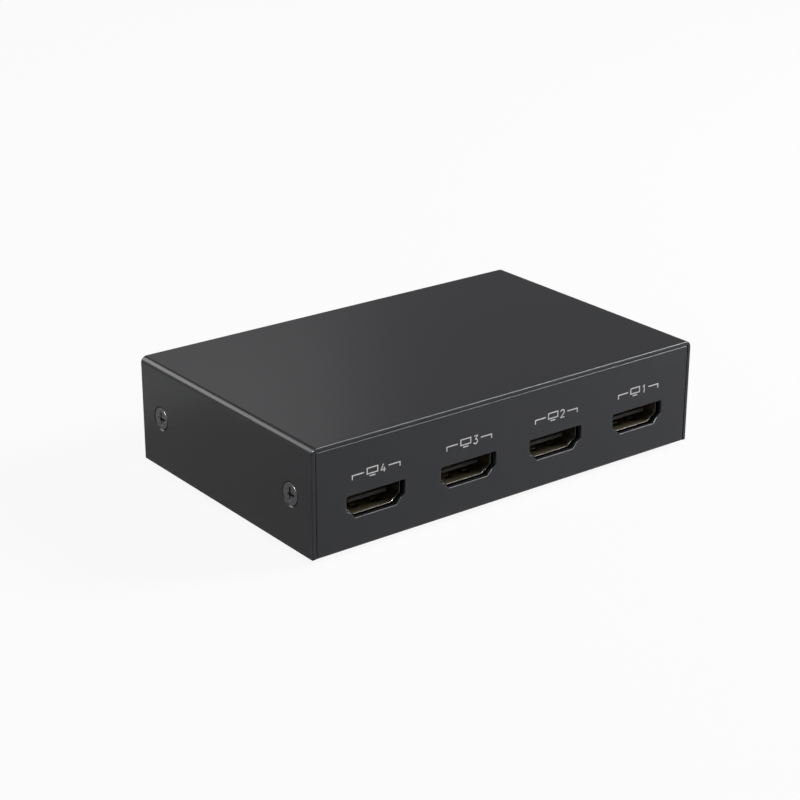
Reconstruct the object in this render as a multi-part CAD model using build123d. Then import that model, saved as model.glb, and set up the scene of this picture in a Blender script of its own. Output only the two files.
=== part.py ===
from build123d import *
import os

# A four-way display signal splitter in a painted sheet-steel case, in millimetres.
# The origin is on the surface that it stands on, under the middle of the case.
# X runs to the right across the front panel, Y from the front panel to the rear one, Z upwards.

# Case: a cover with a top and two sides, over a tray with a floor and two panels
case_width = 106.0
case_depth = 66.8
case_height = 24.6
sheet = 0.9
bend_inner_radius = 0.6
tray_corner_radius = 0.45
arris_radius = 0.3
cut_arris_radius = 0.2
case_gap = 0.1
overrun = 3.0

# Rubber feet, stuck on under the floor
foot_height = 1.5
foot_radius = 4.0
foot_top_radius = 3.6
foot_inset_x = 11.0
foot_inset_y = 9.4
foot_rounding = 0.4

# Tabs that stand up from the tray and take the side screws
tab_width = 10.0
tab_above_screw = 4.4
tab_relief = 0.8
tab_corner_radius = 2.0
collar_radius = 2.4
collar_height = 1.2

# Side screws: thin countersunk heads with a cross recess
side_screw_inset_y = 8.0
side_screw_height = 12.1
screw_head_radius = 2.5
screw_head_height = 0.85
screw_rim = 0.2
screw_arris_radius = 0.12
screw_shank_radius = 1.45
screw_length = 6.0
screw_tip = 0.4
screw_sink = 0.04
head_clearance = 0.16
thread_clearance = 0.05
recess_span = 3.1
recess_floor_span = 1.5
recess_width = 0.6
recess_depth = 1.2

# Circuit board on clinched standoffs
board_thickness = 1.6
board_edge_gap = 1.2
board_side_gap = 0.7
board_corner_radius = 1.0
standoff_height = 4.2
standoff_radius = 2.7
standoff_shank_radius = 2.1
standoff_chamfer = 0.3
standoff_inset_x = 4.7
standoff_inset_y = 15.7
clinch_clearance = 0.03
board_hole_radius = 1.7
pan_head_radius = 2.7
pan_head_height = 1.9
pan_head_rounding = 0.9
board_screw_length = 5.0

# Display sockets
mouth_width = 14.0
mouth_height = 4.55
mouth_corner_radius = 0.35
shoulder_drop = 0.75
shoulder_inset = 1.0
shoulder_fall = 0.45
chamfer_inset = 1.15
cutout_side_margin = 0.5
cutout_height_margin = 0.32
mouth_gap = 0.5
shell_wall = 0.35
shell_lip_radius = 0.12
socket_depth = 11.6
leg_width = 1.4
leg_front_y = 2.4
leg_rear_y = 9.2
leg_reach = 0.9
leg_clearance = 0.2

# Spring fingers cut out of the shell's top and bottom walls
finger_spread = 5.2
finger_window_width = 2.1
finger_window_start = 2.2
finger_window_length = 5.0
finger_width = 1.5
finger_thickness = 0.25
finger_dip = 0.55
finger_tip_gap = 1.1
finger_toe = 0.9

# Socket insulator with its tongue, and the contacts on both faces of the tongue
tongue_width = 10.0
tongue_thickness = 1.1
tongue_rise = 0.0
tongue_setback = 1.7
tongue_root = 8.6
tongue_tip_chamfer = 0.25
insulator_clearance = 0.04
contact_pitch = 1.0
contact_width = 0.46
contact_thickness = 0.2
contact_proud = 0.03
contact_start = 0.5
contact_clearance = 0.03
contact_foot = 0.9
contact_row_gap = 0.3
top_contacts = 10
bottom_contacts = 9

# Power jack for a round plug
jack_width = 9.0
jack_above_axis = 4.5
jack_below_axis = 6.5
jack_depth = 13.5
jack_gap = 0.4
jack_bore_radius = 3.15
jack_bore_depth = 9.5
jack_cutout_radius = 3.6
jack_chamfer = 1.2
jack_lead_in = 0.35
jack_pin_radius = 1.0
jack_pin_root_radius = 1.3
jack_pin_setback = 0.6
jack_pin_clearance = 0.04
jack_terminal_width = 2.2
jack_terminal_thickness = 0.4
jack_spring_width = 2.4
jack_spring_thickness = 0.3
jack_spring_start = 2.2
jack_spring_end = 8.6
jack_spring_lift = 0.42
jack_slot_clearance = 0.15
pin_reach = 1.2
hole_clearance = 0.2

# Status lamps: round light-emitting diodes in black holders
lamp_pitch = 6.0
lamp_axis_height = 3.6
lamp_radius = 1.5
lamp_cutout_radius = 1.6
lamp_flange_radius = 1.9
lamp_flange_length = 0.8
lamp_sink = 0.1
holder_width = 4.4
holder_above_axis = 2.2
holder_gap = 0.5
holder_length = 3.0
holder_clearance = 0.05
lamp_leg_width = 0.5
lamp_leg_pitch = 2.54
lamp_leg_run = 1.5

# Main chip, its pad and its heat sink
main_chip_size = 14.0
main_chip_height = 1.4
main_chip_lead_count = 20
main_chip_pitch = 0.65
chip_standoff = 0.1
chip_chamfer = 0.25
chip_mark_radius = 0.5
chip_mark_depth = 0.1
fine_lead_width = 0.3
lead_thickness = 0.15
lead_reach = 0.35
lead_foot = 0.6
pad_thickness = 0.5
sink_base = 1.6
sink_height = 7.0
sink_fins = 7
sink_fin_thickness = 0.9

# Smaller chips
controller_length = 6.5
controller_width = 4.4
controller_height = 1.0
controller_lead_count = 10
memory_length = 4.9
memory_width = 3.9
memory_height = 1.5
memory_lead_count = 4
memory_pitch = 1.27
coarse_lead_width = 0.42
regulator_length = 6.5
regulator_width = 3.5
regulator_height = 1.6
regulator_lead_count = 3
regulator_pitch = 2.3
regulator_lead_width = 0.7
regulator_tab_width = 3.0
array_length = 2.5
array_width = 1.0
array_height = 0.5
array_gap = 1.4
array_spread = 5.0

# Power and timing components
coil_size = 6.0
coil_height = 2.8
coil_corner = 1.2
coil_drum_radius = 2.3
coil_groove_width = 0.25
coil_groove_depth = 0.4
coil_terminal_width = 2.4
coil_terminal_thickness = 0.3
can_radius = 3.15
can_height = 5.4
can_rounding = 0.4
can_groove_height = 1.1
can_groove_radius = 0.3
can_base_size = 6.6
can_base_height = 0.8
can_base_corner = 1.3
crystal_length = 10.4
crystal_width = 4.2
crystal_height = 3.4
crystal_rounding = 0.5
crystal_base_length = 11.2
crystal_base_width = 4.8
crystal_base_height = 0.5
fuse_length = 4.5
fuse_width = 3.2
fuse_height = 1.2
fuse_end_thickness = 0.5
small_length = 1.6
small_width = 0.8
small_height = 0.7
resistor_height = 0.45
ring_gap = 2.3
ring_pitch = 3.8
ring_per_side = 4
lamp_resistor_gap = 3.0

# Where the panels' sockets and lamps stand, as shares of the case's half width
socket_pitch_share = 0.464
socket_row_shares = (-1.5, -0.5, 0.5, 1.5)
input_place_share = -0.566
jack_place_share = 0.698
lamp_row_share = 0.151
lamp_pitch_shares = (2, 1, 0, -1, -2)

# Where the smaller components stand, as shares of the board's half width and half depth
crystal_place_share = (-0.32, 0.0)
controller_place_share = (0.34, 0.1)
memory_place_shares = [(-0.5, 0.06), (-0.68, 0.06)]
converter_place_share = (0.56, 0.36)
regulator_place_share = (0.54, 0.0)
coil_place_share = (0.74, 0.1)
can_place_shares = [(0.56, -0.28), (0.74, -0.28)]
fuse_place_share = (0.9, 0.0)
bulk_place_shares = [
    (-0.5, -0.2), (-0.68, -0.2), (0.36, -0.28), (0.4, -0.28), (-0.34, -0.32), (-0.3, -0.32),
]

# Places that follow from the sizes above
half_width = case_width / 2
half_depth = case_depth / 2
bend_outer_radius = bend_inner_radius + sheet
case_bottom = foot_height
case_top = case_bottom + case_height
floor_top = case_bottom + sheet
tray_half_length = half_width - sheet - case_gap
tray_height = case_height - sheet - case_gap
side_screw_y = half_depth - side_screw_inset_y
side_screw_z = case_bottom + side_screw_height
board_bottom = floor_top + standoff_height
board_top = board_bottom + board_thickness
board_half_width = tray_half_length - sheet - board_side_gap
board_half_depth = half_depth - sheet - board_edge_gap
socket_axis = board_top + shell_wall + mouth_height / 2
socket_mouth_y = half_depth - sheet - mouth_gap
front_socket_xs = [share * socket_pitch_share * half_width for share in socket_row_shares]
input_socket_x = input_place_share * half_width
jack_x = jack_place_share * half_width
contact_drop = mouth_height / 2 + shell_wall
socket_reach = socket_depth + 2 * contact_row_gap + 2 * contact_thickness + contact_foot
jack_axis = board_top + jack_below_axis
jack_face_y = half_depth - sheet - jack_gap
lamp_axis = board_top + lamp_axis_height
lamp_xs = [lamp_row_share * half_width + share * lamp_pitch for share in lamp_pitch_shares]
holder_front = sheet + holder_gap
holder_back = holder_front + holder_length
standoff_places = [
    (side * (board_half_width - standoff_inset_x), end * (board_half_depth - standoff_inset_y))
    for side in (-1, 1)
    for end in (-1, 1)
]
foot_places = [
    (side * (half_width - foot_inset_x), end * (half_depth - foot_inset_y))
    for side in (-1, 1)
    for end in (-1, 1)
]


def block(low, high):
    """A box from its lowest to its highest corner."""
    sizes = [b - a for a, b in zip(low, high)]
    middle = [(a + b) / 2 for a, b in zip(low, high)]
    return Pos(*middle) * Box(*sizes)


def rod(radius, low, high):
    """A round rod on the Z axis."""
    return Pos(0, 0, (low + high) / 2) * Cylinder(radius, high - low)


def rod_along_y(radius, start, stop):
    """A round rod on the Y axis."""
    return Pos(0, (start + stop) / 2, 0) * Rot(90, 0, 0) * Cylinder(radius, stop - start)


def along_y(sketch, start, stop):
    """A sketch of X and Z, drawn out from y = start to y = stop."""
    return Pos(0, stop, 0) * extrude(Plane.XZ * sketch, stop - start)


def turned(points):
    """A solid turned about Z from a profile of (radius, height) points."""
    profile = make_face(Polyline(*points, close=True).edges())
    return revolve(Plane.XZ * profile, Axis.Z)


def bent_strip(path, thickness, width):
    """A strip bent square along a path of (y, z) points, centred on x = 0."""
    strip = None
    for (y0, z0), (y1, z1) in zip(path, path[1:]):
        middle = Pos(0, (y0 + y1) / 2, (z0 + z1) / 2)
        run = middle * Box(width, abs(y1 - y0) + thickness, abs(z1 - z0) + thickness)
        strip = run if strip is None else strip + run
    return strip


def on_board(place_share):
    """The board point that a pair of shares stands for."""
    return Pos(place_share[0] * board_half_width, place_share[1] * board_half_depth, board_top)


def group(solids):
    """Separate solids that share a node."""
    return Compound(children=[s for part in solids for s in part.solids()])


# Case


def bent_channel(plane, width, height, length, corner_radius):
    """A channel bent from sheet, open at the top, along the plane's normal.

    Where the corner radius is under the sheet's thickness, the sheet is grooved before bending.
    """
    outer = Pos(0, height / 2) * Rectangle(width, height)
    outer = fillet(outer.vertices().group_by(Axis.Y)[0], corner_radius)
    inner = Pos(0, sheet + height / 2) * Rectangle(width - 2 * sheet, height)
    inner = fillet(inner.vertices().group_by(Axis.Y)[0], bend_inner_radius)
    return extrude(plane * (outer - inner), length / 2, both=True)


def plug_outline(side_margin, height_margin, radius):
    """The stepped outline of a display plug, grown by two margins."""
    half = mouth_width / 2 + side_margin
    top = mouth_height / 2 + height_margin
    shoulder = -shoulder_drop - shoulder_fall
    right = [
        (half, top),
        (half, -shoulder_drop),
        (half - shoulder_inset, shoulder),
        (half - shoulder_inset - chamfer_inset, -top),
    ]
    left = [(-x, z) for x, z in reversed(right)]
    outline = make_face(Polyline(*right, *left, close=True).edges())
    return fillet(outline.vertices(), radius)


def top_cover():
    """The cover: top and two sides, with countersunk holes for the side screws."""
    channel = bent_channel(Plane.XZ, case_width, case_height, case_depth, bend_outer_radius)
    cover = mirror(channel, about=Plane.XY)
    ends = cover.faces().filter_by(Axis.Y).edges()
    inside = half_width - sheet * 2 / 3
    outer = [e for e in ends if e.center().Z > -sheet / 2 or abs(e.center().X) > inside]
    cover = Pos(0, 0, case_top) * fillet(outer, arris_radius)
    face_radius = screw_head_radius + screw_rim + head_clearance
    sink = turned([
        (0, overrun),
        (face_radius, overrun),
        (face_radius, 0),
        (face_radius - sheet, -sheet),
        (face_radius - sheet, -sheet - overrun),
        (0, -sheet - overrun),
    ])
    for place in side_screw_places():
        cover -= place * sink
    for faces in (cover.faces().sort_by(Axis.X)[:1], cover.faces().sort_by(Axis.X)[-1:]):
        rims = [edge for wire in faces[0].inner_wires() for edge in wire.edges()]
        cover = fillet(rims, screw_arris_radius)
    return cover


def side_screw_places():
    """Frames at the screw heads, with Z pointing out of the case."""
    places = []
    for side in (-1, 1):
        for end in (-1, 1):
            places.append(Pos(side * half_width, end * side_screw_y, side_screw_z) * Rot(0, side * 90, 0))
    return places


def base_tray():
    """The tray: floor, front and rear panels and four screw tabs, with every cutout."""
    length = 2 * tray_half_length
    tray = bent_channel(Plane.YZ, case_depth, tray_height, length, tray_corner_radius)
    top_corners = tray.edges().filter_by(Axis.Y).group_by(Axis.Z)[-1]
    tray = fillet(top_corners, bend_inner_radius - case_gap)
    outer_faces = tray.faces().filter_by(Axis.Y).group_by(lambda f: abs(f.center().Y))[-1]
    keep = [e for e in outer_faces.edges() if e.center().Z > tray_corner_radius + arris_radius]
    tray = fillet(keep, arris_radius)
    tab_height = side_screw_height + tab_above_screw
    notch = block(
        (tray_half_length - bend_outer_radius, -tab_width / 2 - tab_relief, -overrun),
        (tray_half_length + overrun, tab_width / 2 + tab_relief, sheet + overrun),
    )
    tabs = bent_channel(Plane.XZ, length, tab_height, tab_width, bend_outer_radius)
    corners = tabs.edges().filter_by(Axis.X).group_by(Axis.Z)[-1]
    tabs = fillet(corners, tab_corner_radius)
    for end in (-1, 1):
        middle = Pos(0, end * side_screw_y, 0)
        tray -= middle * notch
        tray -= middle * mirror(notch, about=Plane.YZ)
        tray += middle * tabs
    tray = Pos(0, 0, case_bottom) * tray
    inner = sheet + case_gap + sheet
    for place in side_screw_places():
        tray += place * rod(collar_radius, -inner - collar_height, -inner)
        tray -= place * rod(screw_shank_radius + thread_clearance, -inner - collar_height - overrun, 0)
    for cut in panel_cuts():
        tray -= cut
    for panel in (0, -1):
        face = tray.faces().sort_by(Axis.Y)[panel]
        rims = [edge for wire in face.inner_wires() for edge in wire.edges()]
        tray = fillet(rims, cut_arris_radius)
    for x, y in standoff_places:
        tray -= Pos(x, y, 0) * rod(
            standoff_shank_radius + clinch_clearance, case_bottom - overrun, floor_top + standoff_height / 2
        )
    return tray


def panel_cuts():
    """The tools that cut the sockets, the jack and the lamps out of the two panels."""
    outline = plug_outline(cutout_side_margin, cutout_height_margin, mouth_corner_radius)
    mouth = along_y(outline, -overrun, sheet + overrun)
    cuts = [Pos(x, -half_depth, socket_axis) * mouth for x in front_socket_xs]
    rear = Rot(0, 0, 180)
    cuts.append(Pos(input_socket_x, half_depth, socket_axis) * rear * mouth)
    jack_hole = rod_along_y(jack_cutout_radius, -sheet - overrun, overrun)
    lamp_hole = rod_along_y(lamp_cutout_radius, -sheet - overrun, overrun)
    cuts.append(Pos(jack_x, half_depth, jack_axis) * jack_hole)
    cuts += [Pos(x, half_depth, lamp_axis) * lamp_hole for x in lamp_xs]
    return cuts


def cross_recess():
    """The tapered cross that a driver fits, cut down from z = 0."""
    half, floor_half = recess_span / 2, recess_floor_span / 2
    lift = recess_depth * (half - floor_half) / half
    wing = make_face(Polyline(
        (-half - (half - floor_half) * lift / recess_depth, lift),
        (half + (half - floor_half) * lift / recess_depth, lift),
        (floor_half, -recess_depth),
        (-floor_half, -recess_depth),
        close=True,
    ).edges())
    blade = extrude(Plane.XZ * wing, recess_width / 2, both=True)
    return blade + Rot(0, 0, 90) * blade


def side_screw():
    """A countersunk screw for thin sheet, with its face at z = 0."""
    screw = turned([
        (0, 0),
        (screw_head_radius, 0),
        (screw_head_radius, -screw_rim),
        (screw_head_radius + screw_rim - screw_head_height, -screw_head_height),
        (screw_shank_radius, -screw_head_height),
        (screw_shank_radius, screw_tip - screw_length),
        (screw_shank_radius - screw_tip, -screw_length),
        (0, -screw_length),
    ])
    rim = screw.edges().group_by(Axis.Z)[-1]
    return fillet(rim, screw_arris_radius) - cross_recess()


def side_screws():
    """The four screws that hold the cover to the tray."""
    sunk = Pos(0, 0, -screw_sink) * side_screw()
    return group([place * sunk for place in side_screw_places()])


def rubber_feet():
    """Four round stick-on feet."""
    foot = turned([
        (0, 0),
        (foot_top_radius, 0),
        (foot_radius, foot_height),
        (0, foot_height),
    ])
    foot = fillet(foot.edges().group_by(Axis.Z)[0], foot_rounding)
    return group([Pos(x, y, 0) * foot for x, y in foot_places])


# Circuit board and its fastenings


def shell_leg_places():
    """Where a socket's legs go down, from the middle of its mouth."""
    x = mouth_width / 2 + shell_wall / 2
    return [(side * x, y) for side in (-1, 1) for y in (leg_front_y, leg_rear_y)]


def socket_places():
    """Each socket's name and its frame: the middle of its mouth, with Y pointing inwards."""
    places = {}
    for n, x in enumerate(reversed(front_socket_xs)):
        places[f"output_{n + 1}"] = Pos(x, -socket_mouth_y, socket_axis)
    places["input"] = Pos(input_socket_x, socket_mouth_y, socket_axis) * Rot(0, 0, 180)
    return places


def jack_place():
    """The frame of the power jack: its axis at its face, with Y pointing inwards."""
    return Pos(jack_x, jack_face_y, jack_axis) * Rot(0, 0, 180)


def lamp_places():
    """The frames of the lamps, on their axes at the rear panel's outer face."""
    return [Pos(x, half_depth, lamp_axis) * Rot(0, 0, 180) for x in lamp_xs]


def circuit_board():
    """The board with its mounting holes, leg slots and pin holes."""
    outline = RectangleRounded(2 * board_half_width, 2 * board_half_depth, board_corner_radius)
    board = Pos(0, 0, board_bottom) * extrude(outline, board_thickness)
    low, high = board_bottom - overrun, board_top + overrun
    for x, y in standoff_places:
        board -= Pos(x, y, 0) * rod(board_hole_radius, low, high)
    slot = board_slot(shell_wall, leg_width, leg_clearance, contact_drop)
    for place in socket_places().values():
        for x, y in shell_leg_places():
            board -= place * Pos(x, y, 0) * slot
    for path, thickness, width in (jack_pin_leg(), jack_spring_leg()):
        slot = board_slot(width, thickness, hole_clearance, jack_below_axis)
        board -= jack_place() * Pos(0, path[-1][0], 0) * slot
    reach = lamp_axis_height + board_thickness + overrun
    hole = rod(lamp_leg_width / 2 + hole_clearance, -reach, overrun - lamp_axis_height)
    y = holder_back + lamp_flange_length + lamp_leg_run
    for place in lamp_places():
        for side in (-1, 1):
            board -= place * Pos(side * lamp_leg_pitch / 2, y, 0) * hole
    return board


def board_slot(width, depth, clearance, drop):
    """The slot that a leg of this width and depth goes through, below an axis by drop."""
    half_x, half_y = width / 2 + clearance, depth / 2 + clearance
    low = -drop - board_thickness - overrun
    return block((-half_x, -half_y, low), (half_x, half_y, overrun - drop))


def board_standoffs():
    """Tapped standoffs, clinched through the floor."""
    standoff = turned([
        (0, case_bottom),
        (standoff_shank_radius, case_bottom),
        (standoff_shank_radius, floor_top),
        (standoff_radius, floor_top),
        (standoff_radius, board_bottom - standoff_chamfer),
        (standoff_radius - standoff_chamfer, board_bottom),
        (0, board_bottom),
    ])
    standoff -= rod(screw_shank_radius + thread_clearance, case_bottom - overrun, board_bottom + overrun)
    return group([Pos(x, y, 0) * standoff for x, y in standoff_places])


def board_screws():
    """Pan-head screws that hold the board to its standoffs."""
    head = fillet(rod(pan_head_radius, 0, pan_head_height).edges().group_by(Axis.Z)[-1], pan_head_rounding)
    screw = head + rod(screw_shank_radius, -board_screw_length, 0)
    screw -= Pos(0, 0, pan_head_height) * cross_recess()
    return group([Pos(x, y, board_top) * screw for x, y in standoff_places])


# Display sockets, drawn from the middle of the mouth with Y pointing inwards


def spring_finger():
    """A finger in the top wall, rooted at the rear of its window and dipping into the mouth."""
    inner = mouth_height / 2
    root = finger_window_start + finger_window_length
    tip = finger_window_start + finger_tip_gap
    profile = make_face(Polyline(
        (root + finger_thickness, inner + finger_thickness),
        (root + finger_thickness, inner),
        (root, inner),
        (tip + finger_toe, inner - finger_dip),
        (tip, inner - finger_thickness),
        (tip, inner),
        (tip + finger_toe, inner - finger_dip + finger_thickness),
        (root, inner + finger_thickness),
        close=True,
    ).edges())
    return extrude(Plane.YZ * profile, finger_width / 2, both=True)


def socket_shell():
    """The drawn metal shell: stepped tube, spring fingers and four board legs."""
    outside = plug_outline(shell_wall, shell_wall, mouth_corner_radius + shell_wall / 2)
    shell = along_y(outside, 0, socket_depth)
    shell -= along_y(plug_outline(0, 0, mouth_corner_radius), -overrun, socket_depth + overrun)
    lip = shell.faces().sort_by(Axis.Y)[0].inner_wires()[0]
    shell = fillet(lip.edges(), shell_lip_radius)
    window = block(
        (-finger_window_width / 2, finger_window_start, mouth_height / 2 - finger_dip),
        (finger_window_width / 2, finger_window_start + finger_window_length, mouth_height / 2 + overrun),
    )
    for side in (-1, 1):
        middle = Pos(side * finger_spread / 2, 0, 0)
        for turn in (Rot(0, 0, 0), Rot(0, 180, 0)):
            shell -= middle * turn * window
            shell += middle * turn * spring_finger()
    half_x, half_y = shell_wall / 2, leg_width / 2
    foot = -contact_drop - board_thickness - leg_reach
    leg = block((-half_x, -half_y, foot), (half_x, half_y, -shoulder_drop / 2))
    for x, y in shell_leg_places():
        shell += Pos(x, y, 0) * leg
    return shell


def contact_rows():
    """The x places, the height of the middle and the run behind the shell of each row of contacts."""
    middle = contact_thickness / 2 - contact_proud
    top = tongue_rise + tongue_thickness / 2 - middle
    bottom = tongue_rise - tongue_thickness / 2 + middle
    behind = socket_depth + contact_row_gap + contact_thickness / 2
    spread = contact_row_gap + contact_thickness
    return [
        ([(n - (top_contacts - 1) / 2) * contact_pitch for n in range(top_contacts)], top, behind + spread),
        ([(n - (bottom_contacts - 1) / 2) * contact_pitch for n in range(bottom_contacts)], bottom, behind),
    ]


def socket_insulator():
    """The moulded block in the back of the shell, with the tongue and the contacts' grooves."""
    margin = -insulator_clearance
    body = along_y(plug_outline(margin, margin, mouth_corner_radius), tongue_root, socket_depth)
    tongue = block(
        (-tongue_width / 2, tongue_setback, tongue_rise - tongue_thickness / 2),
        (tongue_width / 2, tongue_root, tongue_rise + tongue_thickness / 2),
    )
    tip = tongue.faces().sort_by(Axis.Y)[0].edges()
    body += chamfer(tip, tongue_tip_chamfer)
    half = contact_width / 2 + contact_clearance
    deep = contact_thickness / 2 + contact_clearance
    start = tongue_setback + contact_start - contact_clearance
    for xs, z, _ in contact_rows():
        for x in xs:
            body -= block((x - half, start, z - deep), (x + half, socket_depth + overrun, z + deep))
    return body


def socket_contacts():
    """The contacts: along the tongue, through the block and down to the board."""
    contacts = []
    for xs, z, behind in contact_rows():
        start = tongue_setback + contact_start + contact_thickness / 2
        floor = contact_thickness / 2 - contact_drop
        foot = socket_reach - contact_thickness / 2
        contact = bent_strip(
            [(start, z), (behind, z), (behind, floor), (foot, floor)], contact_thickness, contact_width
        )
        contacts += [Pos(x, 0, 0) * contact for x in xs]
    return group(contacts)


# Power jack, drawn from its axis at its face with Y pointing inwards


def jack_pin_leg():
    """The centre pin's terminal: its path, thickness and width."""
    y = jack_depth + jack_terminal_thickness / 2
    foot = -jack_below_axis - board_thickness - pin_reach
    return [(y, 0), (y, foot)], jack_terminal_thickness, jack_terminal_width


def jack_spring_leg():
    """The spring contact's path, thickness and width."""
    wall = -jack_bore_radius - jack_spring_thickness / 2
    bump = wall + jack_spring_lift
    foot = -jack_below_axis - board_thickness - pin_reach
    step = (jack_spring_start + jack_spring_end) / 2
    path = [
        (jack_spring_start, bump),
        (step, bump),
        (step, wall),
        (jack_spring_end, wall),
        (jack_spring_end, foot),
    ]
    return path, jack_spring_thickness, jack_spring_width


def power_jack_housing():
    """The moulded body of the power jack."""
    housing = block((-jack_width / 2, 0, -jack_below_axis), (jack_width / 2, jack_depth, jack_above_axis))
    top = housing.edges().filter_by(Axis.Y).group_by(Axis.Z)[-1]
    housing = chamfer(top, jack_chamfer)
    housing -= rod_along_y(jack_bore_radius, -overrun, jack_bore_depth)
    mouth = housing.faces().sort_by(Axis.Y)[0].edges().filter_by(GeomType.CIRCLE)
    housing = chamfer(mouth, jack_lead_in)
    housing -= rod_along_y(jack_pin_root_radius + jack_pin_clearance, 0, jack_depth + overrun)
    half = jack_spring_width / 2 + jack_slot_clearance
    housing -= block(
        (-half, jack_spring_start - jack_spring_thickness, -jack_below_axis - overrun),
        (half, jack_spring_end + jack_spring_thickness + jack_slot_clearance, -jack_pin_radius * 2),
    )
    return housing


def power_jack_pin():
    """The centre pin, its thicker root in the housing's back wall and its terminal."""
    pin = rod_along_y(jack_pin_radius, jack_pin_setback, jack_bore_depth)
    pin = fillet(pin.edges().group_by(Axis.Y)[0], jack_pin_radius / 2)
    pin += rod_along_y(jack_pin_root_radius, jack_bore_depth, jack_depth)
    return pin + bent_strip(*jack_pin_leg())


def power_jack_spring():
    """The spring that the plug's barrel slides over."""
    return bent_strip(*jack_spring_leg())


# Status lamps, drawn from their axis at the rear panel's outer face with Y pointing inwards


def lamp_body():
    """A lamp's clear body: domed lens and flange."""
    body = rod_along_y(lamp_radius, lamp_sink + lamp_radius, holder_back)
    body += Pos(0, lamp_sink + lamp_radius, 0) * Sphere(lamp_radius)
    return body + rod_along_y(lamp_flange_radius, holder_back, holder_back + lamp_flange_length)


def lamp_leg():
    """One leg of a lamp, back from the flange and down through the board."""
    back = holder_back + lamp_flange_length
    foot = -lamp_axis_height - board_thickness - pin_reach
    bend = back + lamp_leg_run
    path = [(back + lamp_leg_width / 2, 0), (bend, 0), (bend, foot)]
    return bent_strip(path, lamp_leg_width, lamp_leg_width)


def lamp_holder():
    """The block that holds a lamp level over the board."""
    half = holder_width / 2
    holder = block((-half, holder_front, -lamp_axis_height), (half, holder_back, holder_above_axis))
    return holder - rod_along_y(lamp_radius + holder_clearance, 0, holder_back + overrun)


# Components on the board, drawn from the board's surface


def chip_body(length, width, height):
    """A moulded chip body with bevelled edges and a pin mark."""
    body = block((-length / 2, -width / 2, chip_standoff), (length / 2, width / 2, chip_standoff + height))
    body = chamfer(body.faces().sort_by(Axis.Z)[-1].edges(), chip_chamfer)
    corner = 3 * chip_mark_radius
    mark = rod(chip_mark_radius, chip_standoff + height - chip_mark_depth, chip_standoff + height + overrun)
    return body - Pos(corner - length / 2, corner - width / 2, 0) * mark


def lead_row(half_span, height, count, pitch, width):
    """A row of bent leads along the +Y side of a chip."""
    level = chip_standoff + height / 2
    floor = lead_thickness / 2
    out = half_span + lead_reach
    path = [(half_span + floor, level), (out, level), (out, floor), (out + lead_foot, floor)]
    lead = bent_strip(path, lead_thickness, width)
    return [Pos((n - (count - 1) / 2) * pitch, 0, 0) * lead for n in range(count)]


def two_rows(half_span, height, count, pitch, width):
    """Leads on both long sides of a chip."""
    row = lead_row(half_span, height, count, pitch, width)
    return row + [Rot(0, 0, 180) * lead for lead in row]


def heat_sink():
    """A finned sink that stands on the pad of the main chip."""
    half = main_chip_size / 2
    sink = block((-half, -half, 0), (half, half, sink_height))
    slot_count = sink_fins - 1
    slot = (main_chip_size - sink_fins * sink_fin_thickness) / slot_count
    for n in range(slot_count):
        start = -half + sink_fin_thickness + n * (slot + sink_fin_thickness)
        low = (start, -half - overrun, sink_base)
        high = (start + slot, half + overrun, sink_height + overrun)
        sink -= block(low, high)
    return sink


def coil():
    """A shielded power coil: its body and its two terminals."""
    body = extrude(Rectangle(coil_size, coil_size), coil_height)
    body = chamfer(body.edges().filter_by(Axis.Z), coil_corner)
    ring = rod(coil_drum_radius + coil_groove_width, coil_height - coil_groove_depth, coil_height + overrun)
    body -= ring - rod(coil_drum_radius, 0, coil_height + 2 * overrun)
    body = Pos(0, 0, coil_terminal_thickness) * body
    half, wide = coil_size / 2, coil_terminal_width / 2
    terminal = block((-wide, coil_corner, 0), (wide, half, coil_terminal_thickness))
    return body, [terminal, Rot(0, 0, 180) * terminal]


def can_capacitor():
    """A can capacitor with its crimp, and the base that it stands on."""
    can = fillet(rod(can_radius, can_base_height, can_base_height + can_height).edges(), can_rounding)
    crimp = Pos(0, 0, can_base_height + can_groove_height) * Torus(can_radius, can_groove_radius)
    base = extrude(Rectangle(can_base_size, can_base_size), can_base_height)
    base = chamfer(base.edges().filter_by(Axis.Z).group_by(Axis.X)[-1], can_base_corner)
    return can - crimp, base


def crystal():
    """A low crystal can and its base plate."""
    can = extrude(SlotOverall(crystal_length, crystal_width), crystal_height, dir=(0, 0, 1))
    can = fillet(can.edges().group_by(Axis.Z)[-1], crystal_rounding)
    base = extrude(SlotOverall(crystal_base_length, crystal_base_width), crystal_base_height, dir=(0, 0, 1))
    turn = Rot(0, 0, 90)
    return turn * Pos(0, 0, crystal_base_height) * can, turn * base


def small_chip(height):
    """A small two-ended component, its length along X."""
    return block((-small_length / 2, -small_width / 2, 0), (small_length / 2, small_width / 2, height))


def capacitor_ring():
    """Small capacitors all round the main chip, and bulk ones beside the other chips."""
    part = small_chip(small_height)
    out = main_chip_size / 2 + ring_gap
    ring = []
    for side in range(4):
        for n in range(ring_per_side):
            along = (n - (ring_per_side - 1) / 2) * ring_pitch
            ring.append(Pos(0, 0, board_top) * Rot(0, 0, 90 * side) * Pos(along, out, 0) * part)
    return ring + [on_board(place) * part for place in bulk_place_shares]


def lamp_resistors():
    """A resistor behind each lamp."""
    part = Rot(0, 0, 90) * small_chip(resistor_height)
    y = half_depth - holder_back - lamp_flange_length - lamp_leg_run - lamp_resistor_gap
    return [Pos(x, y, board_top) * part for x in lamp_xs]


def surge_arrays():
    """Two surge arrays behind each socket's contacts."""
    half_x, half_y = array_length / 2, array_width / 2
    part = block((-half_x, -half_y, 0), (half_x, half_y, array_height))
    arrays = []
    for place in socket_places().values():
        for side in (-1, 1):
            seat = Pos(side * array_spread / 2, socket_reach + array_gap, -contact_drop)
            arrays.append(place * seat * part)
    return arrays


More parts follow.
